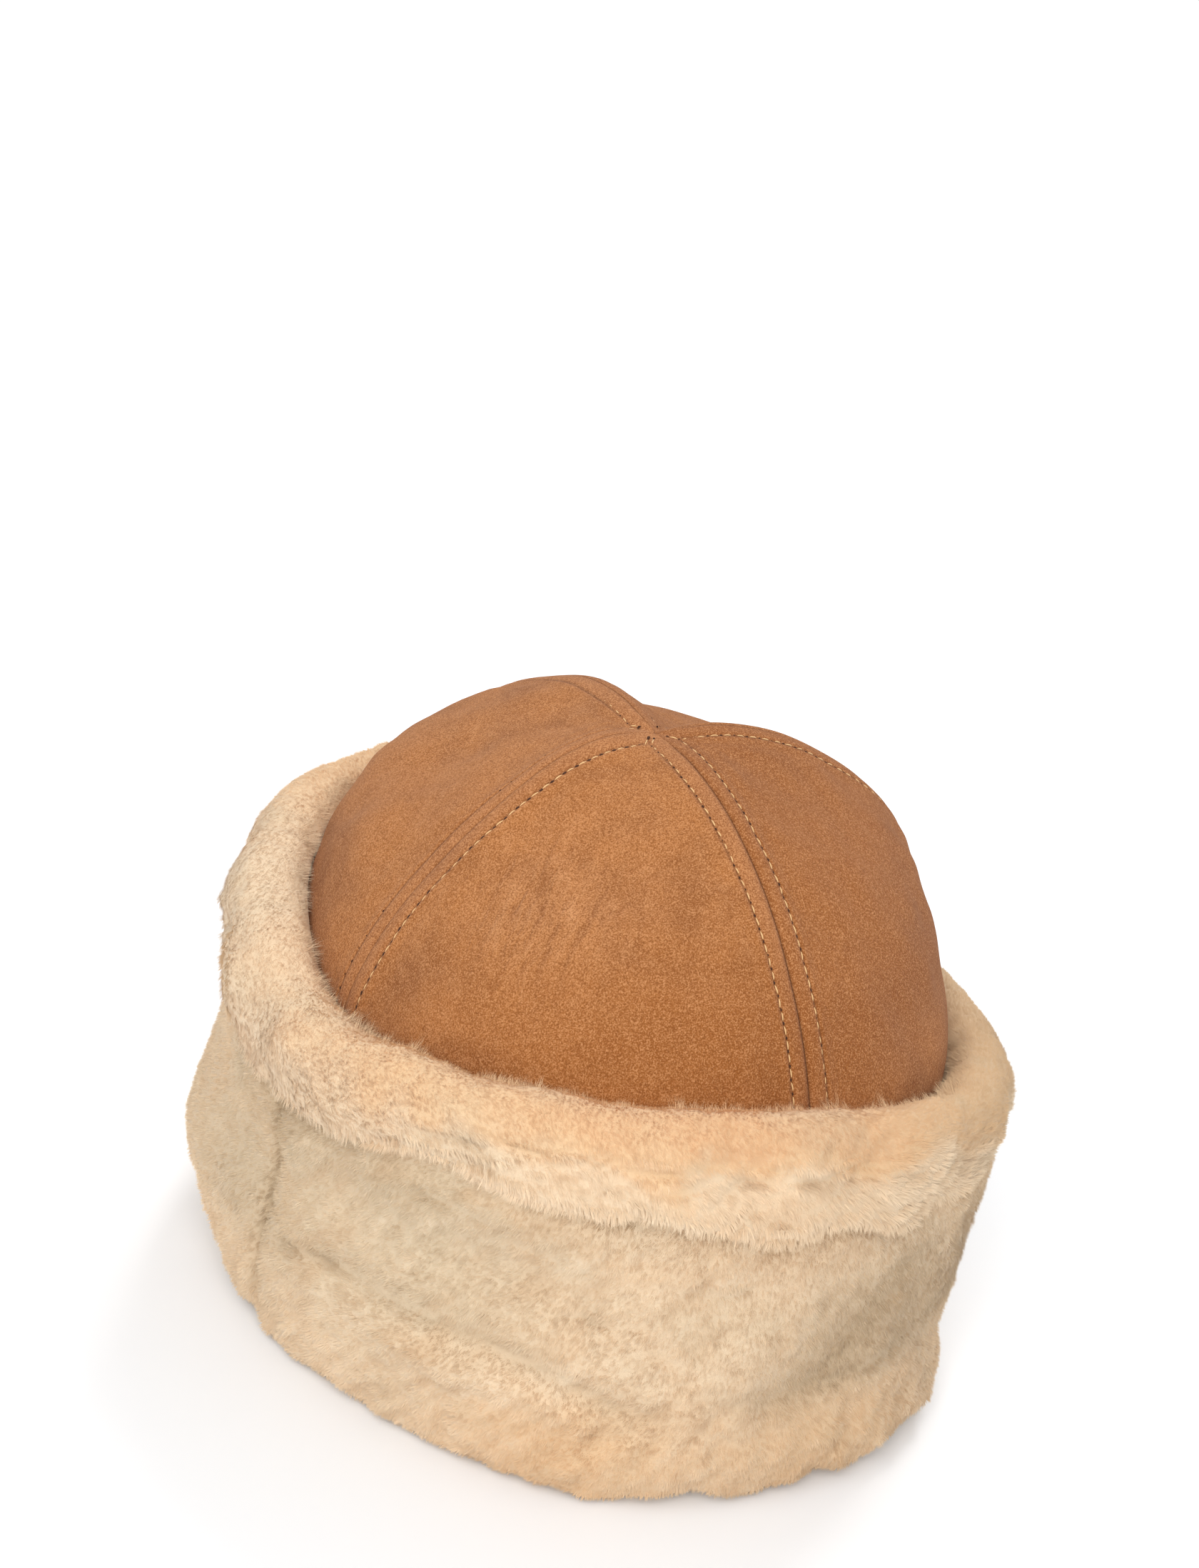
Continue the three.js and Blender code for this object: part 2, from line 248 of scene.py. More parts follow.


# band is the strip over the seam's allowance, the second attribute painted shade in the stitch line and the
# seam's groove, low painted shade on the crown's side away from the lamps and on the gores there, and worn
# the patch of fine wrinkles.
def makeSuede():
    look = suedeLook
    material, place, attribute, join = newMaterial(
        "suede", Roughness=0.97, Sheen_Weight=0.06, Sheen_Roughness=0.6, Specular_IOR_Level=0.12)
    band, valley, low, worn = (attribute(key) for key in ("band", "valley", "low", "worn"))
    mottle = place.noise(look["mottleSize"], 3, 0.6)
    nap = place.noise(look["napSize"], 3, 1.2, 0.6)
    grain = place.noise(look["grainSize"], 3, 0.5, 0.7)
    turned = place.node("ShaderNodeMapping", {}, {"Vector": place, "Rotation": look["fleckTurn"],
                                                  "Scale": look["fleckStretch"]})
    fleck = turned.noise(look["fleckSize"], 2, 2.2, 0.6)
    drawnOut = place.stretched(look["acrossWrinkles"], look["wrinkleWidth"],
                               look["alongWrinkles"], look["wrinkleLength"])
    wrinkle = drawnOut.noise(1, 2, 0.7, 0.5)
    base = layered(mottle.between(0.15, 0.62).pick(look["dark"], look["tan"]), look, [
        (nap.between(0.45, 0.8) * 0.35, "light"), (nap.between(0.5, 0.25) * 0.28, "dark"),
        # low lays painted shade in the deep colour
        (band * 0.45, "band"), (low * 0.92, "deep"), (worn * 0.3, "light"),
        # the wrinkles darker in their hollows and lighter on their ridges: painted shade and highlight
        (wrinkle.between(0.5, 0.34) * (worn * 0.8), "dark"),
        (wrinkle.between(0.54, 0.7) * (worn * 0.6), "light"),
        (grain.between(0.5, 0.6) * 0.62, "light"), (grain.between(0.5, 0.4) * 0.78, "dark"),
        (fleck.between(0.58, 0.7) * 0.6, "light"), (fleck.between(0.42, 0.3) * 0.5, "dark"),
        # painted shade in the stitch lines and the seams' grooves
        (valley, "holeShade")])
    height = grain * 0.7 + fleck * 0.6 + nap * 0.8 + wrinkle * (worn * 7.0 + 0.4)
    join(Base_Color=base, Normal=height.relief(0.6, 0.0006))
    return material


# the last colour is painted shade in the needle holes
threadLook = {"light": srgb(250, 214, 156), "dark": srgb(214, 160, 98), "holeShade": srgb(66, 36, 18),
              "twist": 22}


def makeThread():
    look = threadLook
    material, place, attribute, join = newMaterial(
        "thread", Roughness=0.55, Sheen_Weight=0.15, Specular_IOR_Level=0.4)
    along = attribute("along")
    wave = along.maths("SINE", along * look["twist"], 0.0)
    join(Base_Color=(wave * 0.35 + 0.5).pick(look["dark"], look["light"]), Normal=wave.relief(0.4, 0.0002))
    return material


furLook = {
    "cream": srgb(233, 209, 178), "honey": srgb(224, 190, 151), "peach": srgb(230, 191, 146),
    "amber": srgb(223, 178, 134), "grey": srgb(212, 196, 168), "root": srgb(204, 172, 136),
    "tip": srgb(250, 231, 203), "shade": srgb(166, 144, 114),
    "patchSize": 0.03, "tuftSize": 0.005, "strandSize": 0.0007,
}


# warm runs from the greyer wall, its grey partly painted shade, to the peach of the rolled edges; the
# painted shade darkens the wool away from the lamps, in folds and under the roll; tone is the shade of each
# tuft, partly painted highlight and shade over its locks and lumps; and depth is 0 at the skin.
def makeFur(name, blades):
    look = furLook
    material, place, attribute, join = newMaterial(
        name, Roughness=0.85, Sheen_Weight=0.15, Sheen_Roughness=0.5, Specular_IOR_Level=0.15)
    warm, tone, depth, dim = (attribute(key) for key in ("warm", "tone", "depth", "dim"))
    patch = place.noise(look["patchSize"], 2, 0.6)
    tuft = place.noise(look["tuftSize"], 2, 0.8, 0.5)
    base = layered(warm.between(0.0, 0.55).pick(look["grey"], look["cream"]), look, [
        (warm.between(0.5, 0.75) * 0.85, "peach"), (warm.between(0.75, 1.0) * 0.9, "amber"),
        (patch.between(0.46, 0.68) * 0.3, "honey"), (patch.between(0.5, 0.3) * 0.25, "grey"),
        # painted shade, laid in the shade colour
        (tuft.between(0.5, 0.8) * 0.07, "tip"), (dim, "shade"),
        (tone.between(0.45, 0.0) * 0.4, "root"), (tone.between(0.55, 1.0) * 0.36, "tip"),
        ((1 - depth) * 0.32, "root")])
    if blades:
        join(Base_Color=base)
        return material
    strand = place.noise(look["strandSize"], 3, 0.8, 0.7)
    base = layered(base, look, [(strand.between(0.5, 0.25) * 0.4, "root")])
    join(Base_Color=base, Normal=(strand + tuft * 1.5).relief(0.6, 0.0008))
    return material


suede = makeSuede()
thread = makeThread()
# dark dents at the needle holes: painted shade
needleHoleShade = newMaterial("needle_hole_shade", Base_Color=threadLook["holeShade"], Roughness=1.0)[0]
furBlade = makeFur("fur_pile", True)
furSkin = makeFur("fur_ground", False)
print("materials made")


# Camera, measured in the photograph's pixels.
view = {"azimuth": -34, "elevation": 31.1, "away": 1.2, "focal": 5322, "lean": 9.9, "aim": (0, 0, 0.09),
        "pixel": (851, 1468), "frame": (1680, 2197), "sensor": 36, "clip": (0.05, 50)}


def makeCamera():
    azimuth, elevation, lean = (math.radians(view[key]) for key in ("azimuth", "elevation", "lean"))
    back = Vector((math.sin(azimuth) * math.cos(elevation), -math.cos(azimuth) * math.cos(elevation),
                   math.sin(elevation)))
    right = Vector((math.cos(azimuth), math.sin(azimuth), 0))
    up = back.cross(right)
    width, height = view["frame"]
    tilted = right * math.cos(lean) + up * math.sin(lean)
    risen = up * math.cos(lean) - right * math.sin(lean)
    level = Matrix((tilted, risen, back)).transposed()
    towards = Vector((view["pixel"][0] - width / 2, height / 2 - view["pixel"][1], -view["focal"]))
    turned = level @ towards.rotation_difference(Vector((0, 0, -1))).to_matrix()
    place = Vector(view["aim"]) + back * view["away"]
    bpy.ops.object.camera_add(location=place, rotation=turned.to_euler())
    camera = bpy.context.object
    camera.name = "camera"
    camera.data.sensor_width = view["sensor"]
    camera.data.lens = view["focal"] / height * view["sensor"]
    camera.data.clip_start, camera.data.clip_end = view["clip"]
    bpy.context.scene.camera = camera


light = {
    "sky": 0.56, "skyColour": (1, 0.995, 0.985, 1), "aim": (0, 0, 0.08),
    "floorSize": 14, "floorColour": srgb(249, 251, 254), "cloudColour": (1, 1, 1, 1), "cloudSize": 1.5,
    "lamps": [("front_light", (-1.15, -1.64, 1.5), 31, 1.3),  # name, place, power, size
              ("side_light", (-1.5, -0.7, 1.9), 14, 1.3),
              ("back_light", (1.1, 0.9, 2.0), 24, 0.9)],
}


def makeStage():
    deselectAll()
    bpy.ops.mesh.primitive_plane_add(size=light["floorSize"])
    floor = bpy.context.object
    floor.name = "floor"
    material, place, attribute, join = newMaterial("floor_paint", Roughness=0.9, Specular_IOR_Level=0.1)
    cloud = place.noise(light["cloudSize"], 2)
    join(Base_Color=(cloud * 0.1).pick(light["floorColour"], light["cloudColour"]))
    floor.data.materials.append(material)
    world = bpy.data.worlds.new("studio")
    world.use_nodes = True
    sky = world.node_tree.nodes["Background"].inputs
    sky["Color"].default_value = light["skyColour"]
    sky["Strength"].default_value = light["sky"]
    bpy.context.scene.world = world
    for name, place, power, size in light["lamps"]:
        bpy.ops.object.light_add(type="AREA", location=place)
        lamp = bpy.context.object
        lamp.name = name
        lamp.data.energy, lamp.data.size = power, size
        lamp.rotation_euler = (Vector(light["aim"]) - Vector(place)).to_track_quat("-Z", "Y").to_euler()
    bpy.context.scene.view_settings.view_transform = "Standard"


makeCamera()
makeStage()
print("camera, floor and light set")


# The crown: four gores of suede with sheared fleece inside.
crown = {
    "seams": [(0, 110, 0), (90, 99, 11), (180, 112, 14), (270, 100, 0)],  # angle, reach, shoulder
    "grooves": (1.0, 0.7, 0.6, 0.4),  # how clear each seam's groove is
    "gores": [("gore_front_left", -3, 4.5), ("gore_back_left", 3, 14),
              ("gore_back_right", 4, 6), ("gore_front_right", 4, 6)],  # name, puff, sag
    "levels": np.array([  # z, share, shoulder, puff, sag
        (11, 0.95, 0, 0, 0), (45, 0.96, 0, 0, 0), (85, 0.98, 0, 0, 0), (112, 0.99, 0, 0.1, 0),
        (126, 0.975, 0.1, 0.4, 0), (140, 0.92, 0.3, 0.9, 0), (153, 0.845, 0.65, 1, 0.05),
        (165, 0.75, 1, 0.8, 0.3), (176, 0.645, 1, 0.4, 0.7), (186.5, 0.515, 0.8, 0, 1),
        (195.5, 0.36, 0.6, 0, 1), (200, 0.21, 0.3, 0, 0.65), (200.5, 0.1, 0, 0, 0.25),
        (199.5, 0, 0, 0, 0)]),
    "thickness": 8.5, "tip": 0.35, "seamGap": 0.12,
    "welt": 6.3, "weltHeight": 0.75, "weltSlope": (0.9, 3.6),  # width, height, slope inwards and outwards
    "groove": (0.65, 0.8), "softGroove": (0.4, 2.4),  # depth, width
    "pucker": (0.22, 13.5, 2.6, 11),  # height, distance, width, wavelength
    "stitchLine": 5.7, "stitchDip": (0.6, 0.75),  # distance, then depth and width
    "swells": [(0.55, 42, 11), (0.22, 17, 12)],  # height, size, seed
    "fleece": [(0.7, 9, 21), (0.5, 4.5, 22)],  # height, size, seed
    "shownLevel": 3.0, "hiddenRows": 8, "shownRows": 108,
    "midColumns": 34, "nearShare": 0.42,  # the share of its width beside a seam
    "crossing": (-1.8, 5.4, 0),  # where the seams meet
    "paintedShadeByGore": (0.65, 0.3, 0.0, 0.0),  # painted shade on the gores away from the lamps, by gore
    "wornSpot": around(-54, 70, 170), "wornReach": 24,  # the patch of fine wrinkles
}
lastLevel = len(crown["levels"]) - 1


def through(column, place):
    rows = crown["levels"][:, column]
    row = np.floor(place).astype(int)
    return smoothBetween(*(rows[np.clip(row + k, 0, lastLevel)] for k in (-1, 0, 1, 2)), place - row)


def crownShape(degrees, level):
    turned = np.mod(degrees, 360)
    quarter = np.floor(turned / 90).astype(int) % 4
    seams = np.array(crown["seams"], float)
    seam, following = seams[quarter], seams[(quarter + 1) % 4]
    within = turned - 90 * quarter
    angle = np.radians(within)
    reach = 1 / np.hypot(np.cos(angle) / seam[..., 1], np.sin(angle) / following[..., 1])
    share = step(0, 90, within)
    shoulder = seam[..., 2] * (1 - share) + following[..., 2] * share
    middle = np.abs(np.sin(2 * angle)) ** 1.4
    puff, sag = (np.array([row[k] for row in crown["gores"]], float)[quarter] for k in (1, 2))
    radius = through(1, level) * reach + through(2, level) * shoulder + through(3, level) * puff * middle
    return radius, through(0, level) - through(4, level) * sag * middle


def crownNormal(degrees, level):
    lowRadius, lowZ = crownShape(degrees, level - 0.05)
    highRadius, highZ = crownShape(degrees, level + 0.05)
    out = unit(np.stack([highZ - lowZ, lowRadius - highRadius], -1))
    out[level <= 0.001] = (1, 0)
    return out


# The seams' crossing lies a little off the crown's axis.
def offAxis(points, radius):
    return points + np.array(crown["crossing"]) * step(75, 0, radius)[..., None]


# Height of the suede beside a seam: the welt, the groove, a soft pucker beyond them, and the dip of the
# stitches.
def seamHeight(distance, radius, run, clear):
    inwards, outwards = crown["weltSlope"]
    welt = crown["weltHeight"] * (1 - step(crown["welt"] - inwards, crown["welt"] + outwards, distance))
    (depth, width), (softDepth, softWidth) = crown["groove"], crown["softGroove"]
    groove = -(depth * bump(distance, width) + softDepth * bump(distance, softWidth)) * clear
    tall, away, broad, wave = crown["pucker"]
    groove += tall * bump(distance - away, broad) * (0.6 + 0.4 * np.sin(run / wave))
    dipDepth, dipWidth = crown["stitchDip"]
    dip = -dipDepth * bump(distance - crown["stitchLine"], dipWidth)
    return step(1.5, 16, radius) * (welt + groove) + dip * step(0.5, 6, radius)


# Slow swells and the few creases of worn suede.
def suedeSwell(points):
    swell = sum(height * lumps(points, size, seed) for height, size, seed in crown["swells"])
    return swell * step(105, 150, points[..., 2])


# Length along a line up the crown, from its foot.
def runAlong(radius, z):
    return np.concatenate([[0], np.cumsum(np.hypot(np.diff(radius), np.diff(z)))])


def levelRows():
    fine = np.linspace(0, lastLevel, 2601)
    run = runAlong(*crownShape(np.full_like(fine, 45.0), fine))
    shownFrom = np.interp(crown["shownLevel"], fine, run)
    last = run[-1] - crown["tip"]
    spaced = np.concatenate([np.linspace(0, shownFrom, crown["hiddenRows"], endpoint=False),
                             np.linspace(shownFrom, last, crown["shownRows"])])
    return np.interp(spaced, run, fine), spaced


# Distances from the seam across a gore, close together over the welt and the stitches.
def goreColumns(width):
    near = np.array([0, 0.3, 0.6, 0.95, 1.4, 2.1, 3.0, 3.9, 4.7,
                     5.1, 5.4, 5.7, 6.0, 6.3, 6.8, 7.5, 8.6, 10.5])
    narrow = np.minimum(1, crown["nearShare"] * width / near[-1])[:, None]
    left = near[None, :] * narrow
    share = np.linspace(0, 1, crown["midColumns"] + 2)[1:-1]
    inner = left[:, -1:] + share[None, :] * (width[:, None] - 2 * left[:, -1:])
    return np.concatenate([left, inner, width[:, None] - left[:, ::-1]], 1)


def gorePlaces(quarter):
    start = crown["seams"][quarter][0]
    levels, run = levelRows()
    middleRadius, _ = crownShape(np.full_like(levels, start + 45.0), levels)
    width = np.maximum(middleRadius, 0.01) * math.pi / 2
    distance = goreColumns(width)
    level = np.broadcast_to(levels[:, None], distance.shape)
    runs = np.broadcast_to(run[:, None], distance.shape)
    turn = np.minimum(crown["seamGap"] / np.maximum(middleRadius, 0.3), 0.5)
    inset = np.degrees(np.arcsin(turn))[:, None]
    degrees = start + inset + (90 - 2 * inset) * distance / width[:, None]
    fromSeam = np.minimum(distance, width[:, None] - distance)
    radius, z = crownShape(degrees, level)
    normal = crownNormal(degrees, level)
    bare = around(degrees, radius, z)
    beside = crown["grooves"][quarter], crown["grooves"][(quarter + 1) % 4]
    clear = np.where(distance < width[:, None] / 2, *beside)
    height = seamHeight(fromSeam, radius, runs, clear) + suedeSwell(bare) * step(2, 14, fromSeam)
    places = around(degrees, radius + height * normal[..., 0], z + height * normal[..., 1])
    return offAxis(places, radius).transpose(1, 0, 2), fromSeam.T, radius.T, z.T, clear.T


# The fleece on the inner side of the hide.
def roughenInside(piece, outer):
    places = readPlaces(piece.data)
    inner = places[outer:2 * outer]
    inward = unit(inner - places[:outer])
    fleece = sum(height * np.abs(lumps(inner / mm, size, seed)) for height, size, seed in crown["fleece"])
    places[outer:2 * outer] += inward * (fleece[:, None] - 1.0) * mm
    piece.data.vertices.foreach_set("co", places.ravel())


def makeGore(quarter):
    name = crown["gores"][quarter][0]
    places, fromSeam, radius, z, clear = gorePlaces(quarter)
    piece, column, row = sheet(name + "_suede", places)
    outer = len(piece.data.vertices)
    band = 1 - step(crown["welt"] - 1.0, crown["welt"] + 1.5, fromSeam)
    # painted shade in the stitch line's dip and along the seam's groove
    valley = 0.5 * bump(fromSeam - crown["stitchLine"], 0.36)
    valley += 0.3 * clear * bump(fromSeam, 0.5) * step(2, 14, radius)
    turned = np.arctan2(places[..., 0], -places[..., 1])
    facing = np.clip(0.5 + 0.6 * np.cos(turned - math.radians(45)), 0, 1)
    # low is painted shade: on the side facing 45 degrees, away from the lamps, about 150 mm up, and on the
    # shaded gores
    low = np.maximum(0.9 * facing * bump(z - 150, 21), crown["paintedShadeByGore"][quarter] * step(115, 145, z))
    worn = np.exp(-(((places - crown["wornSpot"]) / crown["wornReach"]) ** 2).sum(-1))
    at = column, row
    writeAttributes(piece, band=band[at], valley=valley[at], low=low[at], worn=worn[at])
    solid = piece.modifiers.new("hide", "SOLIDIFY")
    solid.thickness = crown["thickness"] * mm
    solid.offset = -1
    solid.material_offset = 1
    piece.data.materials.append(suede)
    piece.data.materials.append(furSkin)
    makeActive(piece)
    bpy.ops.object.modifier_apply(modifier=solid.name)
    roughenInside(piece, outer)
    every = np.ones(len(piece.data.vertices))
    writeAttributes(piece, warm=0.6 * every, tone=0.5 * every, depth=0.8 * every)
    piece.data.shade_smooth()
    finishPiece(piece, "suede", name)


for quarter in range(4):
    makeGore(quarter)


print("crown gores made")


# Topstitching: one stitch is modelled and copied along both sides of each seam.
stitch = {
    "length": 2.7, "thick": 0.46, "lift": 0.16, "lowest": 108, "nearTip": 5.0,
    # the size and lift of the dark dent painted as a needle hole's shade
    "holeShade": (1.1, 0.75, 0.5), "holeLift": -0.05,
    "sunken": {(270, -1): 0.3}, "torn": {(270, 1): 1.4},  # deep thread, and wider holes with wider painted shade, by seam and side
    "pitch": {0: 4.1, 90: 4.3, 180: 4.3, 270: 4.6},  # by the seam's angle
    "uneven": 0.15, "askew": 0.12, "fullness": (0.9, 1.1), "seed": 31,
}


# The stitch, whose ends dive into the suede, and a dark dent at its needle hole: painted shade.
def stitchForms():
    deselectAll()
    bpy.ops.mesh.primitive_uv_sphere_add(segments=6, ring_count=5, radius=0.5)
    one = bpy.context.object
    form = np.array([vertex.co for vertex in one.data.vertices])[:, [2, 0, 1]]
    faces = [list(polygon.vertices) for polygon in one.data.polygons]
    bpy.data.objects.remove(one)
    dent = form * stitch["holeShade"]
    form = form * (stitch["length"], stitch["thick"], stitch["thick"])
    form[:, 2] -= 0.5 * (form[:, 0] / stitch["length"] * 2) ** 2 * stitch["thick"]
    return form, dent, faces


# A point of the stitch line, lifted over the suede, and the way out of the suede there.
def stitchPoint(seamAngle, side, level, reach, lift):
    distance = min(crown["stitchLine"], crown["nearShare"] * reach * math.pi / 2)
    degrees = seamAngle + side * math.degrees(distance / max(reach, 1))
    r, z = crownShape(np.array([degrees]), np.array([level]))
    out = crownNormal(np.array([degrees]), np.array([level]))[0]
    swell = suedeSwell(around(degrees, r[0], z[0])) * step(2, 14, distance)
    tall = seamHeight(np.array([distance]), r, np.array([0.0]), 1)[0] + swell + lift
    over = around(degrees, r[0] + tall * out[0], z[0] + tall * out[1])
    return offAxis(over, r[0]), around(degrees, out[0], out[1])


def makeStitches():
    form, dent, faces = stitchForms()
    draw = np.random.default_rng(stitch["seed"])
    levels = np.linspace(2.5, lastLevel, 3000)
    rising = slice(0, len(levels) // 2)
    blocks, along = [], []
    for seamAngle, side in [(row[0], side) for row in crown["seams"] for side in (-1, 1)]:
        lift = stitch["lift"] - stitch["sunken"].get((seamAngle, side), 0)
        torn = stitch["torn"].get((seamAngle, side), 1)
        radius, z = crownShape(np.full_like(levels, seamAngle + side * 2.0), levels)
        run = runAlong(radius, z)
        nearFoot = np.interp(stitch["lowest"], z[rising], run[rising])
        for spot in np.arange(nearFoot, run[-1] - stitch["nearTip"], stitch["pitch"][seamAngle]):
            spot += draw.uniform(-stitch["uneven"], stitch["uneven"])
            here = []
            for shift in (-0.6, 0, 0.6):
                level = np.interp(spot + shift, run, levels)
                reach = np.interp(level, levels, radius)
                here.append(stitchPoint(seamAngle, side, level, reach, lift))
            middle, up = here[1]
            ahead = unit(here[2][0] - here[0][0])
            ahead = unit(ahead + np.cross(up, ahead) * draw.uniform(-stitch["askew"], stitch["askew"]))
            wide = np.cross(up, ahead)
            axes = np.stack([ahead, wide, up])
            blocks.append(middle + form * draw.uniform(*stitch["fullness"]) @ axes)
            gap = ahead * stitch["pitch"][seamAngle] / 2 - up * (lift - stitch["holeLift"])
            # the dark dent of painted shade at the needle hole
            blocks.append(middle + gap + dent * (torn, torn, 1) @ axes)
            along += [form[:, 0] + form[:, 1] * 1.2] * 2
    polygons = [[len(form) * k + corner for corner in face] for k in range(len(blocks)) for face in faces]
    mesh = bpy.data.meshes.new("topstitching")
    mesh.from_pydata((np.concatenate(blocks) * mm + axisFoot).tolist(), [], polygons)
    piece = addPiece("topstitching", mesh)
    writeAttributes(piece, along=np.concatenate(along))
    mesh.materials.append(thread)
    mesh.materials.append(needleHoleShade)
    mesh.polygons.foreach_set("material_index", np.repeat(np.arange(len(blocks)) % 2, len(faces)))
    mesh.shade_smooth()
    finishPiece(piece, "suede")
    print("stitches:", len(blocks) // 2)


makeStitches()


# The cuff: the ground under the pile.
cuff = {
    # angle, foot, belly, waist, rim, crease, top
    "places": np.array([
        (0, 122, 124, 122, 127, 102, 138), (30, 125, 121.5, 123, 127, 90, 125),
        (60, 114, 118, 122, 124, 84, 114), (90, 110, 113, 116, 118, 84, 112),
        (120, 111, 116, 116, 119, 90, 117), (150, 116, 122, 120, 124, 99, 128),
        (180, 119, 127, 124, 127, 106, 138), (210, 120, 131, 127, 130, 108, 143),
        (240, 120, 132, 124, 128, 106, 137), (270, 114, 121, 117, 124, 95, 126),
        (300, 112, 118, 117, 125, 103, 134), (330, 118.5, 122, 120, 127, 106, 140)]),
    # how far the rim folds over the wall, by angle
    "overlap": (
        (-90, -74, -60, -47, -38, -25, -6, 6, 16, 26, 44, 62, 84, 100, 130, 150, 172, 195, 225, 250, 270),
        (0.7, 0.7, 0.5, 0.3, 0.5, 0.85, 1.0, 0.9, 0.6, 0.15, 0.0,
         0.2, 0.2, 0.1, 0.6, 0.9, 0.4, 0.8, 0.3, 0.6, 0.7)),
    # the wavering height of the fold's lip, by angle
    "lip": ((-70, -60, -52, -42, -33, -27, -20, -15, -9, -4, 1, 5, 9, 14, 19, 26, 38),
            (0, 2.5, 1, -0.5, -0.5, 1.6, 0.3, 1.5, -2, -2.4, 2.5, 2.2, 0, -4, 2, -1, 0)),
    "bellyHeight": 48, "ledge": 1.5, "clearance": 0.3, "lowest": 0.6,
    # how far the ground lies inside the fur's outline, by place
    "pile": ((0.5, 2.5, 10.5, 11.5, 13.4, 14.6, 16.0, 17.0), (0, 1.4, 1.4, 1.2, 1.2, 0.6, 0.5, 0)),
    "ringRadius": 120,  # at which angles are turned into lengths
    "seam": {"radius": 118, "depth": 2.0, "narrow": 2.2, "wide": 6, "foot": (10, 25), "top": (108, 92)},
    "innerHeights": (112, 85, 45, 10.7), "underTop": 5, "innerPlace": 15.5,  # its side at the suede
    "columns": 200, "rows": 92,
}


# Corners of the cuff's section: a radius and how far out, a height and how far up, and how much further
# out and up where the rim overlaps the wall. Places are counted in these corners: 3 to 5 is the foot, 8 the
# belly, 11 the crease, 12 to 13 the roll's outer side, 15 its top, and 17 the suede.
cuffGuide = [
    ("mouth", -0.5, "floor", 8.5, 0, 0), ("mouth", -1.5, "floor", 4, 0, 0),
    ("foot", -20.5, "floor", 0.8, 0, 0), ("foot", -18, "floor", 0, 0, 0),
    ("foot", -9, "floor", 0, 0, 0), ("foot", -3, "floor", 4, 0, 0),
    ("foot", 1, "floor", 14, 0, 0), ("lowBelly", 0, "floor", 30, 0, 0), ("belly", 0, "floor", 48, 0, 0),
    ("waist", 0, "waist", 0, 0, 0), ("tuck", -0.6, "crease", -9, -0.6, 0),
    ("tuck", 0.2, "crease", 0, -4.6, 1.2), ("rim", -2.6, "crease", 6, 1.2, -5.6),
    ("rim", 0, "roll", 0, 0, 0), ("rim", -4, "top", -4, 0, 0), ("rim", -10, "top", 0, 0, 0),
    ("suede", 4.5, "top", -1.5, 0, 0), ("suede", 0.2, "top", -7, 0, 0),
]


def cuffAt(degrees, column):
    table = cuff["places"][:, column]
    place = np.mod(degrees, 360) / (360 / len(table))
    row = np.floor(place).astype(int)
    return smoothBetween(*(table[(row + k) % len(table)] for k in (-1, 0, 1, 2)), place - row)


def clearRadius(degrees, z):
    levels = np.interp(z, crown["levels"][:6, 0], np.arange(6.0))
    radius, _ = crownShape(degrees, levels)
    return radius + crown["weltHeight"] + cuff["clearance"]


def guideCorners(degrees):
    foot, belly, waist, rim, crease, top = (cuffAt(degrees, k) for k in range(1, 7))
    overlap = np.interp(fromRight(degrees), *cuff["overlap"])
    lip = crease + np.interp(fromRight(degrees), *cuff["lip"], 0, 0)
    mouth = crownShape(degrees, np.zeros_like(degrees))[0] - crown["thickness"]
    across = {"mouth": mouth, "foot": foot, "lowBelly": 0.25 * foot + 0.75 * belly, "belly": belly,
              "waist": waist, "tuck": 0.6 * waist + 0.4 * rim, "rim": rim,
              "suede": clearRadius(degrees, top - 7)}
    upwards = {"floor": 0, "waist": (cuff["bellyHeight"] + crease) / 2, "crease": lip,
               "roll": 0.45 * crease + 0.55 * top, "top": top}
    corners = [np.stack([across[radius] + out + moreOut * overlap,
                         upwards[height] + up + moreUp * overlap], -1)
               for radius, out, height, up, moreOut, moreUp in cuffGuide]
    return np.stack(corners, 1)  # one row of corners for each angle


# A smooth curve through the corners, at places counted in corners.
def curveThrough(corners, place):
    ends = [2 * corners[:, :1] - corners[:, 1:2], corners, 2 * corners[:, -1:] - corners[:, -2:-1]]
    held = np.concatenate(ends, 1)
    row = np.minimum(np.floor(place).astype(int), corners.shape[1] - 2)
    t = (place - row)[None, :, None]
    p0, p1, p2, p3 = (held[:, row + k] for k in range(4))
    steps = ((p0, p1), (p1, p2), (p2, p3))
    d0, d1, d2 = (np.sqrt(np.linalg.norm(b - a, axis=-1, keepdims=True)) for a, b in steps)
    m1 = ((p1 - p0) / d0 - (p2 - p0) / (d0 + d1) + (p2 - p1) / d1) * d1
    m2 = ((p2 - p1) / d1 - (p3 - p1) / (d1 + d2) + (p3 - p2) / d2) * d1
    return p1 + t * (m1 + t * (3 * (p2 - p1) - 2 * m1 - m2 + t * (2 * (p1 - p2) + m1 + m2)))


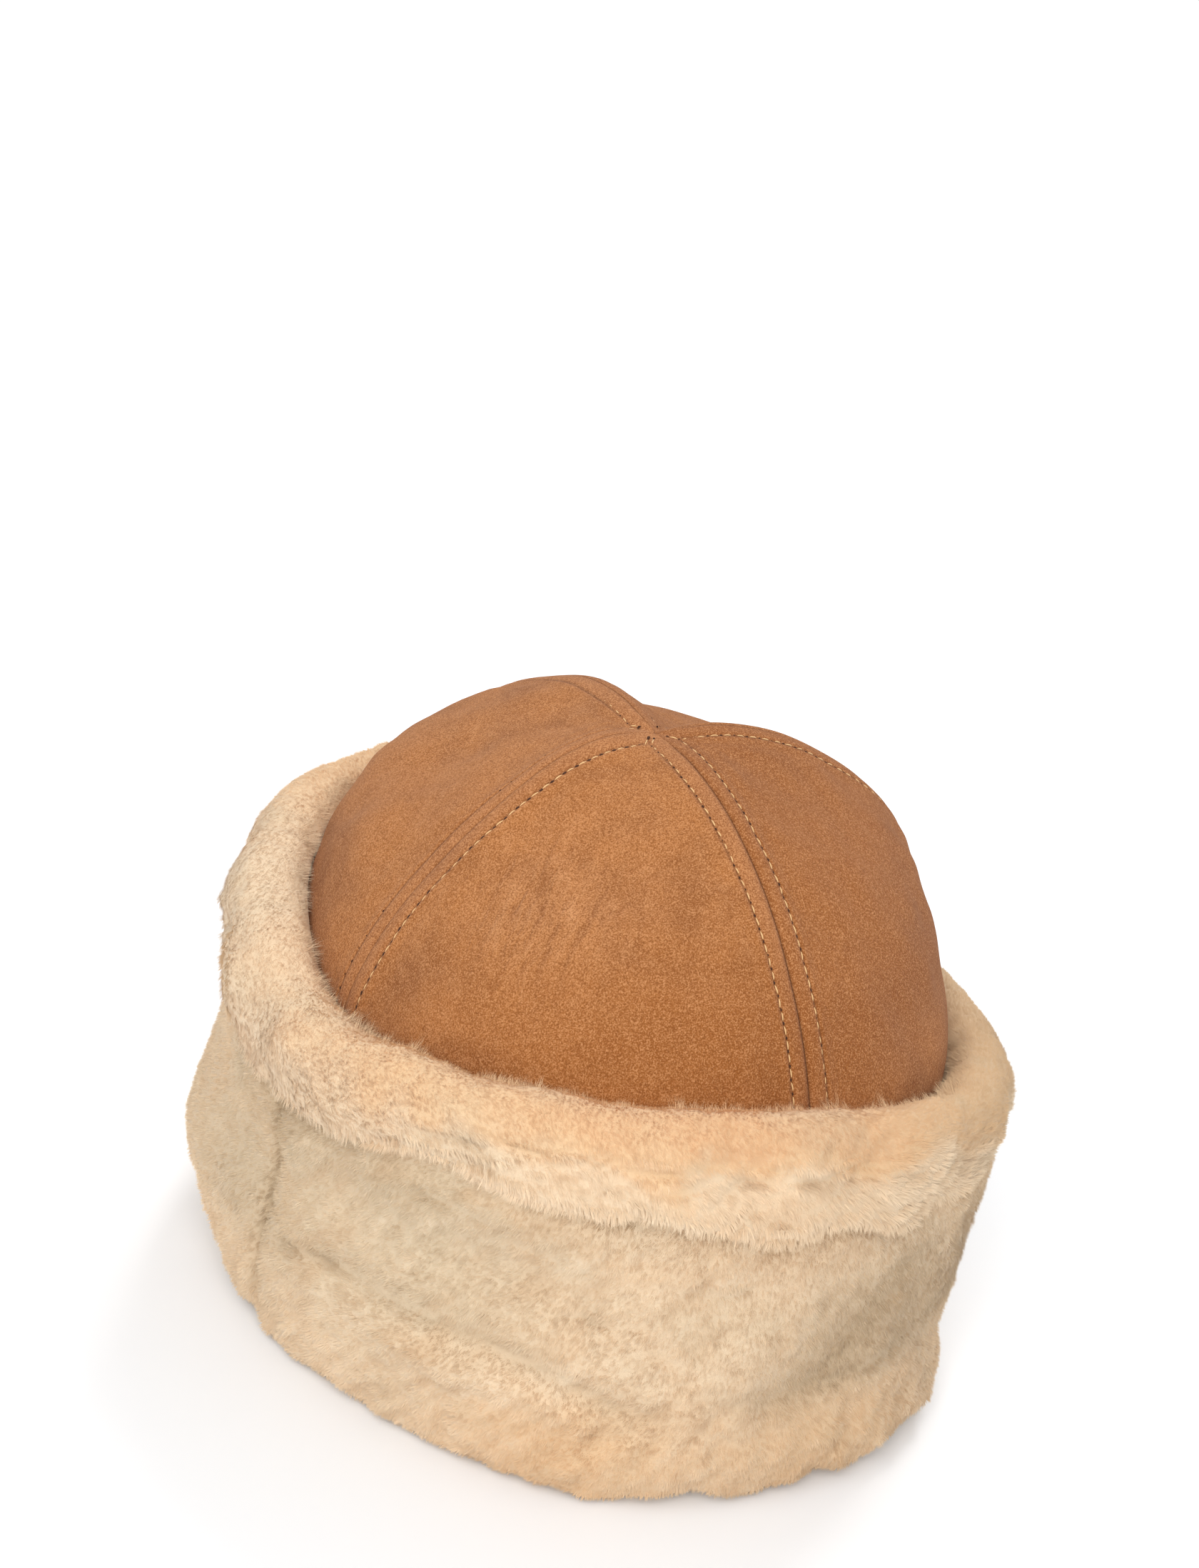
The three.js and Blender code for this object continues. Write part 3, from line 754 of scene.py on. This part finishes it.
# Folds pressed into the fur: depth, width, then the angles and heights that each runs through.
folds = [
    (2.1, 9.0, [(30, 83), (17, 73), (11, 56), (7, 47), (1, 41), (-12, 41)]),
    (1.2, 4.0, [(25, 47), (22, 46), (13, 44), (2, 40)]),
    (2.5, 5.0, [(-84, 52), (-73, 53), (-59, 52), (-45, 51), (-34, 46), (-26, 39), (-14, 33)]),
    (2.2, 2.4, [(-87, 45), (-77, 50), (-71, 51)]),
    (0.9, 2.6, [(-64, 112), (-47, 125), (-34, 121), (-25, 120)]),
    (1.5, 3.2, [(-76, 43), (-68, 40), (-58, 37), (-48, 28), (-41, 20)]),
    (-2.6, 7.0, [(-88, 41), (-66, 41), (-47, 41), (-34, 35), (-20, 25)]),
    (1.4, 14.0, [(-72, 78), (-50, 80), (-26, 76)]),
    (1.0, 1.3, [(-60, 118), (-52, 121), (-44, 124)]),
    (0.9, 1.2, [(-56, 112), (-46, 115), (-38, 117)]),
    (1.8, 5.0, [(-46, 123), (-36, 125), (-24, 126), (-10, 124), (8, 121)]),
    (-1.2, 4.5, [(-42, 113), (-24, 113), (-8, 110), (8, 108)]),
    (0.6, 1.8, [(-16, 118), (-4, 122), (8, 119), (20, 114)]),
    (0.6, 1.8, [(6, 108), (18, 106), (30, 99)]),
    (1.2, 1.2, [(-37, 66), (-33, 69), (-28, 67), (-25, 62)]),
    (0.9, 1.2, [(-62, 92), (-52, 95), (-44, 93)]),
    (0.8, 1.2, [(-22, 84), (-12, 80), (-4, 83)]),
    (1.6, 3.0, [(104, 58), (122, 50), (138, 47), (152, 36)]),
    (2.2, 4.0, [(168, 38), (190, 47), (212, 60), (234, 66)]),
    (1.4, 3.0, [(60, 40), (76, 47), (92, 44)]),
    (1.6, 3.0, [(196, 22), (214, 27), (236, 20), (252, 26)]),
]


def pressedIn(degrees, z):
    turned = fromRight(degrees)
    flat = np.stack([np.radians(turned) * cuff["ringRadius"], z], -1)
    depth = np.zeros(z.shape)
    for deep, wide, path in folds:
        path = np.array([(math.radians(angle) * cuff["ringRadius"], height) for angle, height in path])
        length = np.concatenate([[0], np.cumsum(np.linalg.norm(np.diff(path, axis=0), axis=1))])
        nearest, along = np.full(z.shape, 1e9), np.zeros(z.shape)
        for k in range(len(path) - 1):
            run = path[k + 1] - path[k]
            t = np.clip(((flat - path[k]) @ run) / (run @ run), 0, 1)
            away = np.linalg.norm(flat - path[k] - t[..., None] * run, axis=-1)
            closer = away < nearest
            nearest = np.where(closer, away, nearest)
            along = np.where(closer, length[k] + t * (length[k + 1] - length[k]), along)
        share = along / length[-1]
        ends = step(-0.05, 0.25, share) * step(1.05, 0.75, share)
        depth += deep * ends * (bump(nearest, wide) + 0.25 * bump(nearest, wide * 0.4))
    seam = cuff["seam"]
    for angle, soft in ((-90, 0.6), (270, 0.0), (90, 0.6)):
        away = np.radians(turned - angle) * seam["radius"]
        dent = seam["depth"] * (bump(away, seam["narrow"]) + soft * bump(away, seam["wide"]))
        depth += dent * step(*seam["foot"], z) * step(*seam["top"], z)
    return depth


perDegree = 3
fineDegrees = np.linspace(-90, 270, 360 * perDegree + 1)
finePlace = np.linspace(0, len(cuffGuide) - 1, 520)


def cuffGround():
    section = curveThrough(guideCorners(fineDegrees), finePlace)
    slope = unit(np.gradient(section, axis=1))
    out = np.stack([slope[..., 1], -slope[..., 0]], -1)
    degrees = np.broadcast_to(fineDegrees[:, None], section.shape[:2])
    flat = around(degrees, section[..., 0], section[..., 1])
    furry = step(2.5, 5.0, finePlace) * step(17, 15.5, finePlace)
    onRoll = step(11.4, 12.2, finePlace) * step(14.0, 13.0, finePlace)
    run = np.cumsum(np.linalg.norm(np.gradient(section, axis=1), axis=-1), axis=1)
    ring = np.radians(degrees) * cuff["ringRadius"]
    # locks of the roll, fading out at the side seam
    swept = run + 3.0 * lumps(flat, 32, 45)
    locks = lumps(np.stack([swept * 2.6, ring * 0.7, 0 * run], -1), 12, 44) * onRoll
    locks *= step(-88, -62, degrees) * step(268, 242, degrees)
    # soft locks of the wall and foot, drawn out along the comb on the wearer's right
    streaks = lumps(np.stack([(ring - run) * 0.7, (ring + run) * 0.22, 0 * run], -1), 7, 57)
    streaks *= (step(3.6, 4.8, finePlace) * step(11.4, 10.4, finePlace)
                * step(-89, -80, degrees) * step(22, -12, degrees))
    low = step(52, 30, flat[..., 2])
    tufted = 0.8 * lumps(flat, 34, 41) + 0.16 * (0.6 - np.abs(lumps(flat, 11, 42)))
    tufted += 0.14 * streaks
    tufted += 0.5 * locks
    tufted += 0.6 * lumps(flat, 13, 46) * low
    tufted += 0.22 * lumps(flat, 7.5, 47)
    height = furry * (tufted - pressedIn(degrees, flat[..., 2]))
    inset = np.interp(finePlace, *cuff["pile"])
    moved = section + out * (height - inset)[..., None]
    moved[..., 1] = np.maximum(moved[..., 1], cuff["lowest"])
    return around(degrees, moved[..., 0], moved[..., 1]), np.stack([locks, streaks], -1)


ground, lockGrid = cuffGround()
alongRing, alongSection = np.gradient(ground, axis=0), np.gradient(ground, axis=1)
groundNormal = unit(np.cross(alongRing, alongSection))
print("cuff laid out")


# The wool by angle. warm, velvet and foot are the warmth of the wall, the band beside the suede and the
# foot; the wall's grey is partly painted shade. The rows of shade are painted shade on the wall's shaded
# sides, on the roll away from the lamps and on the wool under the crease, where the roll overhangs it.
wool = {
    "angle": (-90, -75, -55, -30, -10, 10, 35, 60, 90, 120, 150, 180, 210, 240, 262, 270),
    # lower is greyer; the grey at the wearer's right is partly the wool's colour and partly painted shade
    "warm": (0.2, 0.25, 0.2, 0.42, 0.5, 0.45, 0.4, 0.35, 0.4, 0.5, 0.4, 0.45, 0.5, 0.4, 0.2, 0.2),
    "dim": (0.35, 0.1, 0.02, 0.0, 0.15, 0.5, 0.65, 0.5, 0.25, 0.15, 0.15, 0.15, 0.15, 0.2, 0.35, 0.35),
    "rollPaintedShade": (0.0, 0.0, 0.0, 0.0, 0.0, 0.1, 0.38, 0.45, 0.3, 0.15, 0.1, 0.05, 0.05, 0.05, 0.0, 0.0),
    "shadeUnderRoll": (0.25, 0.25, 0.25, 0.1, 0.0, 0.0, 0.0, 0.1, 0.2, 0.2, 0.2, 0.2, 0.2, 0.2, 0.25, 0.25),
    "velvet": (0.62, 0.68, 0.8, 0.95, 1.0, 0.9, 0.75, 0.7, 0.6, 0.6, 0.6, 0.7, 0.7, 0.5, 0.6, 0.62),
    "foot": (0.5, 0.52, 0.55, 0.72, 0.6, 0.68, 0.55, 0.55, 0.55, 0.55, 0.55, 0.6, 0.6, 0.55, 0.5, 0.5),
    "wallComb": (-50, -55, -55, -42, -15, 8, 14, 18, 20, 12, 0, -12, -8, -25, -45, -50),
    "rollComb": (78, 74, 62, 34, 20, 74, 96, 84, 62, 50, 66, 40, 24, 56, 76, 78),
}


def byAngle(key, degrees):
    return np.interp(fromRight(degrees), wool["angle"], wool[key])


# The smooth, deeper coloured band of the roll beside the suede.
def velvet(degrees, z, place):
    wander = 0.35 * lumps(around(degrees, cuff["ringRadius"], z), 24, 53)
    return step(12.5, 14.1, place + wander)


def warmth(degrees, z, place):
    crease = cuffAt(degrees, 5)
    foot = step(60, 24, z) * (place < 12)
    roll = step(crease - 2, crease + 3, z) * (place > 10)
    inner = velvet(degrees, z, place)
    return np.clip(byAngle("warm", degrees) * (1 - foot) * (1 - roll) + byAngle("foot", degrees) * foot
                   + (0.5 + (byAngle("velvet", degrees) - 0.5) * inner) * roll, 0, 1)


# Painted shade on the wool: on the wall's shaded sides, under the crease where the roll overhangs, in folds
# and seams by their depth, and on the roll away from the lamps.
def dimness(degrees, z, place):
    foot = step(46, 34, z) * (place < 12)
    roll = step(11.0, 12.2, place)
    shadeUnderRoll = byAngle("shadeUnderRoll", degrees) * bump(z - cuffAt(degrees, 5) + 9, 8) * (place < 12)
    pressed = 0.11 * np.maximum(pressedIn(degrees, z), 0) * (place < 12)
    upperWallLit = 0.6 * step(60, 85, z) * step(-35, 0, fromRight(degrees))  # less painted shade on the wall's upper part, except at the wearer's right
    wallShade = byAngle("dim", degrees) * (1 - upperWallLit) + shadeUnderRoll
    return (wallShade * (1 - 0.6 * foot) + pressed) * (1 - roll) + byAngle("rollPaintedShade", degrees) * roll


# Welds the sheet's rows where they meet, and closes its ends.
def closeEnds(piece):
    makeActive(piece)
    bpy.ops.object.mode_set(mode="EDIT")
    bpy.ops.mesh.select_all(action="SELECT")
    bpy.ops.mesh.remove_doubles(threshold=0.00002)
    bpy.ops.mesh.select_all(action="DESELECT")
    bpy.ops.mesh.select_non_manifold()
    bpy.ops.mesh.mark_sharp()
    bpy.ops.mesh.fill()
    bpy.ops.object.mode_set(mode="OBJECT")


def makeCuffHalf(name, start, node):
    columns = np.linspace((start + 90) * perDegree, (start + 270) * perDegree, cuff["columns"] + 1)
    rows = np.linspace(0, len(finePlace) - 1, cuff["rows"] + 1)
    columns, rows = np.rint(columns).astype(int), np.rint(rows).astype(int)
    outer = ground[columns][:, rows]
    degrees = fineDegrees[columns]
    closing = []
    for k, height in enumerate(cuff["innerHeights"]):
        z = np.minimum(height, outer[:, -1, 2] - (cuff["underTop"] - k))
        closing.append(around(degrees, clearRadius(degrees, z), z))
    mouth = guideCorners(degrees)[:, 0, 0] + cuff["ledge"]
    closing.append(around(degrees, mouth, cuff["innerHeights"][-1]))
    places = np.concatenate([outer, np.stack(closing, 1), outer[:, :1]], 1)
    piece, column, row = sheet(name, places)
    place = np.concatenate([finePlace[rows], np.full(len(closing), cuff["innerPlace"]), finePlace[:1]])[row]
    z = places[column, row, 2]
    # the streaks make the ground lighter on their ridges and darker in their hollows: painted highlight and
    # shade
    streak = np.zeros(places.shape[:2])
    streak[:, :len(rows)] = lockGrid[columns][:, rows, 1]
    writeAttributes(piece, warm=warmth(degrees[column], z, place), dim=dimness(degrees[column], z, place),
                    tone=np.where(place > 12, 0.5, 0.4 + 0.2 * streak[column, row]),
                    depth=np.where(place > 12, 0.62, 0.45))
    closeEnds(piece)
    piece.data.materials.append(furSkin)
    piece.data.shade_smooth()
    finishPiece(piece, "fur", node)


makeCuffHalf("cuff_front_ground", -90, "cuff_front")
makeCuffHalf("cuff_back_ground", 90, "cuff_back")
print("cuff ground made")


# The pile: narrow blades rooted in the ground, leaning with the comb.
pile = {
    "quarters": [("pile_front_left", 0, 47000), ("pile_back_left", 90, 41000),
                 ("pile_back_right", 180, 41000), ("pile_front_right", 270, 47000)],  # name, start, tufts
    "seed": 70, "places": (0.6, 16.9),
    "density": ((0.6, 3.4, 4.6, 12.5, 13.5, 17), (0.3, 0.3, 1, 1, 1.6, 1.6)),  # by place
    "length": {"wall": 2.2, "roll": 3.3, "inside": 1.6}, "lengths": (0.86, 1.1),
    "lean": {"wall": 46, "roll": 28, "inside": 31},  # degrees from the skin
    "lip": {"lean": 14, "length": 1.1}, "edgeLean": 25,  # more at the fold's lip, at the suede
    "unevenTurn": 9, "unevenLean": 5, "unevenInside": 0.25,  # from tuft to tuft
    "blades": 4, "across": 0.32, "along": 0.5, "gathered": 0.2,  # of one tuft
    "width": 0.24, "widths": (0.7, 1.25), "bladeLengths": (0.82, 1.1),
    "sink": 0.5, "lowest": 0.02, "unevenBlade": 0.07, "unevenFace": 0.25,
    # longer loose hairs that cross onto the suede
    "wisp": {"count": 1500, "places": (15.7, 16.9), "length": 3.0, "lengths": (0.7, 1.5),
             "lean": (10, 65), "spread": 0.7},
}


# Direction in which the fur is combed, in degrees from straight down towards the wearer's left.
def combed(degrees, place, points):
    onRoll = step(11.4, 12.6, place)
    swirl = 13 * lumps(points, 34, 51) + 6 * lumps(points, 11, 52) * (1 - 0.5 * onRoll)
    return byAngle("wallComb", degrees) * (1 - onRoll) + byAngle("rollComb", degrees) * onRoll + swirl


def sampleGround(values, column, place):
    c0, p0 = np.floor(column).astype(int), np.floor(place).astype(int)
    c0, p0 = np.clip(c0, 0, values.shape[0] - 2), np.clip(p0, 0, values.shape[1] - 2)
    tc, tp = (column - c0)[:, None], (place - p0)[:, None]
    low = values[c0, p0] * (1 - tc) + values[c0 + 1, p0] * tc
    high = values[c0, p0 + 1] * (1 - tc) + values[c0 + 1, p0 + 1] * tc
    return low * (1 - tp) + high * tp


# Where the tufts stand, in columns and rows of the laid-out cuff.
def plantTufts(draw, first, tufts):
    area = np.linalg.norm(np.cross(alongRing, alongSection), axis=-1)[first:first + 90 * perDegree]
    within = (finePlace >= pile["places"][0]) & (finePlace <= pile["places"][1])
    area = area * (within * np.interp(finePlace, *pile["density"]))[None, :]
    chance = np.cumsum(area.ravel())
    picked = np.searchsorted(chance, draw.uniform(0, chance[-1], tufts))
    column = first + picked // area.shape[1] + draw.uniform(0, 1, tufts)
    row = picked % area.shape[1] + draw.uniform(0, 1, tufts)
    return column, row


# A mesh of loose blades, three corners each.
def bladeMesh(name, corners):
    count = len(corners)
    mesh = bpy.data.meshes.new(name)
    mesh.vertices.add(3 * count)
    mesh.loops.add(3 * count)
    mesh.polygons.add(count)
    mesh.vertices.foreach_set("co", (corners.reshape(-1, 3) * mm + axisFoot).ravel())
    mesh.loops.foreach_set("vertex_index", np.arange(3 * count, dtype=np.int32))
    mesh.polygons.foreach_set("loop_start", np.arange(0, 3 * count, 3, dtype=np.int32))
    mesh.update(calc_edges=True)
    return mesh


def makePile(name, start, tufts, seed):
    draw = np.random.default_rng(seed)
    first = (start + 90) % 360 * perDegree
    column, row = plantTufts(draw, first, tufts)
    rowStep = finePlace[1] - finePlace[0]
    wisps, loose = pile["wisp"], pile["wisp"]["count"]
    wisp = np.arange(tufts) < loose
    row[wisp] = draw.uniform(*wisps["places"], loose) / rowStep
    root = sampleGround(ground, column, row)
    normal = unit(sampleGround(groundNormal, column, row))
    place = row * rowStep
    degrees = column / perDegree - 90
    down = unit(-sampleGround(alongSection, column, row))
    side = unit(sampleGround(alongRing, column, row))
    lip = bump(place - 12.0, 0.5) * np.interp(fromRight(degrees), *cuff["overlap"])
    turn = combed(degrees, place, root) * (1 - 0.6 * lip) + draw.normal(0, pile["unevenTurn"], tufts)
    turn = np.radians(turn)[:, None]
    comb = down * np.cos(turn) + side * np.sin(turn)
    inside = velvet(degrees, root[:, 2], place)
    onRoll = step(11.2, 12.4, place)
    edge = step(15.9, 16.7, place) * draw.uniform(0, 1, tufts)
    sway = side * draw.normal(0, pile["unevenInside"], (tufts, 1)) * inside[:, None]
    comb = unit(comb + sway - down * edge[:, None])
    comb[wisp] = unit(-down[wisp] + side[wisp] * draw.normal(0, wisps["spread"], (loose, 1)))

    def byZone(key):
        outside = pile[key]["wall"] * (1 - onRoll) + pile[key]["roll"] * onRoll
        return outside + (pile[key]["inside"] - outside) * inside

    lean = byZone("lean") + draw.normal(0, pile["unevenLean"], tufts)
    lean += pile["edgeLean"] * edge
    lean += pile["lip"]["lean"] * lip
    lean[wisp] = draw.uniform(*wisps["lean"], loose)
    lean = np.radians(lean)[:, None]
    clump = np.stack([lumps(root, 4.0, 60 + k, 14) for k in range(3)], -1)
    clump -= (clump * normal).sum(-1, keepdims=True) * normal
    towards = unit(normal * np.sin(lean) + comb * np.cos(lean) + 0.05 * clump * (1 - 0.6 * inside[:, None]))
    length = (byZone("length") + pile["lip"]["length"] * lip) * draw.uniform(*pile["lengths"], tufts)
    length = length[:, None]
    ragged = np.clip(1 + 0.45 * lumps(root[wisp], 14, 55), 0.4, 2)[:, None]
    length[wisp] = wisps["length"] * draw.uniform(*wisps["lengths"], (loose, 1)) * ragged
    warm, dim = warmth(degrees, root[:, 2], place), dimness(degrees, root[:, 2], place)
    # over a random tone, the tufts lighter on the ridges and darker in the hollows of the ground's locks,
    # streaks and lumps: painted highlight and shade
    lock, streak = sampleGround(lockGrid, column, row).T
    tone = draw.uniform(0, 1, tufts) + 0.5 * lock + 0.4 * streak * (1 - inside)
    tone += 0.35 * lumps(root, 7.5, 47) * (1 - inside)

    # the blades of each tuft
    count = tufts * pile["blades"]
    tuft = np.repeat(np.arange(tufts), pile["blades"])
    beside = unit(np.cross(comb, normal))
    across = draw.uniform(-1, 1, (count, 1)) * pile["across"]
    along = draw.uniform(-1, 1, (count, 1)) * pile["along"]
    spread = (1 + 2.0 * wisp[tuft])[:, None]
    offset = (beside[tuft] * across + comb[tuft] * along) * spread
    outerRoll = onRoll * (1 - inside)
    smooth = (step(-42, -66, degrees) + step(222, 250, degrees)) * outerRoll  # on the wearer's right
    calm = (1 - 0.7 * inside - 0.35 * outerRoll - 0.25 * smooth)[tuft][:, None]
    towards = unit(towards[tuft] + draw.normal(0, pile["unevenBlade"], (count, 3)) * calm)
    grown = length[tuft] * draw.uniform(*pile["bladeLengths"], (count, 1))
    low = root[tuft] + offset - (normal * (pile["sink"] * (1 - 0.45 * inside))[:, None])[tuft]
    tip = low + towards * grown - beside[tuft] * across * pile["gathered"]
    tip[:, 2] = np.maximum(tip[:, 2], pile["lowest"])
    wide = unit(np.cross(towards, normal[tuft]) + draw.normal(0, pile["unevenFace"], (count, 3)) * calm)
    half = wide * (pile["width"] / 2 * draw.uniform(*pile["widths"], (count, 1)))
    half = half * (1 - 0.3 * inside[tuft])[:, None]
    half[wisp[tuft]] *= 0.5
    corners = np.stack([low - half, low + half, tip], 1)
    facing = np.cross(corners[:, 1] - corners[:, 0], corners[:, 2] - corners[:, 0])
    flipped = (facing * normal[tuft]).sum(-1) < 0
    corners[flipped] = corners[flipped][:, [1, 0, 2]]
    mesh = bladeMesh(name, corners)
    piece = addPiece(name, mesh)

    # their shades, and the layout for baking
    shade = np.clip(0.4 * tone[tuft] + 0.6 * draw.uniform(0, 1, count), 0, 1)
    # the outer roll's tufts lighter, partly paler wool and partly painted light on the roll's upper side
    shade = 0.5 + (shade - 0.5) * (1 - 0.8 * inside - 0.45 * smooth)[tuft] + 0.42 * outerRoll[tuft]
    deep = (0.6 * inside + 0.25 * outerRoll + 0.35 * smooth)[tuft]
    writeAttributes(piece, warm=np.repeat(warm[tuft], 3), dim=np.repeat(dim[tuft], 3),
                    tone=np.repeat(shade, 3), depth=np.stack([deep, deep, 1 - 0.35 * inside[tuft]], -1))
    layout = mesh.uv_layers.new(name="OFBake")
    byPlace = np.stack([(column - first) / (90 * perDegree), row / len(finePlace)], -1)[tuft]
    byPlace += np.concatenate([across, along], 1) * 0.002
    spreadOut = np.array([[-0.0005, 0], [0.0005, 0], [0, 0.012]])[None]
    laid = np.clip(byPlace[:, None, :] + spreadOut, 0, 1).astype(np.float32)
    layout.uv.foreach_set("vector", laid.ravel())
    mesh.materials.append(furBlade)
    finishPiece(piece, "fur")


for k, (name, start, tufts) in enumerate(pile["quarters"]):
    makePile(name, start, tufts, pile["seed"] + k)


print("pile made")
